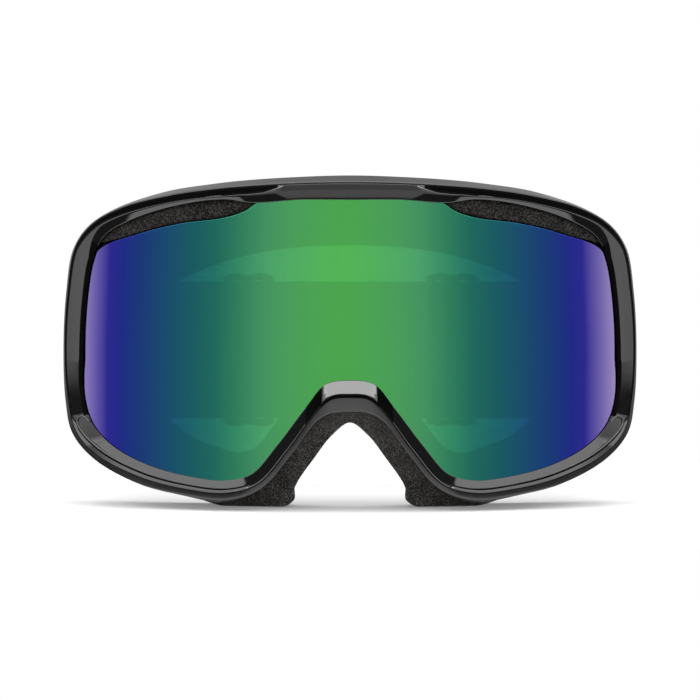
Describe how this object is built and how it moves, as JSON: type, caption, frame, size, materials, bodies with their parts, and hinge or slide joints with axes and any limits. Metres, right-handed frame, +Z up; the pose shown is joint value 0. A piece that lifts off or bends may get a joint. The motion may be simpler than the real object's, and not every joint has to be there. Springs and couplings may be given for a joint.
{
  "type": "ski goggles",
  "caption": "Ski goggles: a one-piece cylindrical mirrored lens in a flexible vented frame, layered face foam, and an elastic strap with slide adjusters.",
  "frame": {"origin": "Middle of the bounding box in X and Y, on the surface the goggles stand on.", "axes": "X to the wearer's left, Y from the lens towards the face, Z up."},
  "size_m": [0.1768, 0.1776, 0.1002],
  "materials": {
    "rim_gloss": "glossy black moulded plastic",
    "frame_satin": "satin black flexible moulded plastic",
    "mirror_lens": "mirror coated lens, green in the middle, through blue, to violet at the sides",
    "clear_lens": "thin clear inner lens",
    "seal_foam": "closed-cell foam gasket",
    "firm_foam": "firm open-cell foam",
    "soft_foam": "soft open-cell foam",
    "fleece": "brushed charcoal fleece",
    "vent_foam": "coarse porous foam",
    "webbing": "woven elastic webbing",
    "silicone": "printed silicone",
    "slider_plastic": "black moulded plastic",
    "thread": "dense sewing thread"
  },
  "bodies": {
    "goggle": {"front_rim": "rim_gloss", "frame_body": "frame_satin", "outer_lens": "mirror_lens", "inner_lens": "clear_lens", "lens_seal": "seal_foam", "face_foam_base": "firm_foam", "face_foam_soft": "soft_foam", "face_fleece": "fleece", "front_vent_foam_left": "vent_foam", "top_vent_foam_left": "vent_foam", "bottom_vent_foam_left": "vent_foam", "front_vent_foam_right": "vent_foam", "top_vent_foam_right": "vent_foam", "bottom_vent_foam_right": "vent_foam"},
    "strap": {"strap_band": "webbing", "strap_grip_line_1": "silicone", "strap_grip_line_2": "silicone", "strap_grip_line_3": "silicone", "strap_end_left": "webbing", "strap_return_left": "webbing", "strap_end_right": "webbing", "strap_return_right": "webbing"},
    "adjuster_left": {"strap_slider_left": "slider_plastic", "strap_tab_left": "webbing", "strap_bartack_left": "thread"},
    "adjuster_right": {"strap_slider_right": "slider_plastic", "strap_tab_right": "webbing", "strap_bartack_right": "thread"}
  },
  "joints": [
    {"name": "strap_tilt", "type": "hinge", "parent": "goggle", "child": "strap", "pos_m": [0, -0.013, 0.04375], "axis": [1, 0, 0], "range_deg": [-15, 15], "deforming": ["strap_end_left", "strap_end_right"]},
    {"name": "adjuster_left_slide", "type": "slide", "parent": "strap", "child": "adjuster_left", "axis": [1, 0, 0], "range_m": [-0.012, 0.013], "deforming": ["strap_return_left"]},
    {"name": "adjuster_right_slide", "type": "slide", "parent": "strap", "child": "adjuster_right", "axis": [-1, 0, 0], "range_m": [-0.012, 0.013], "deforming": ["strap_return_right"]}
  ]
}
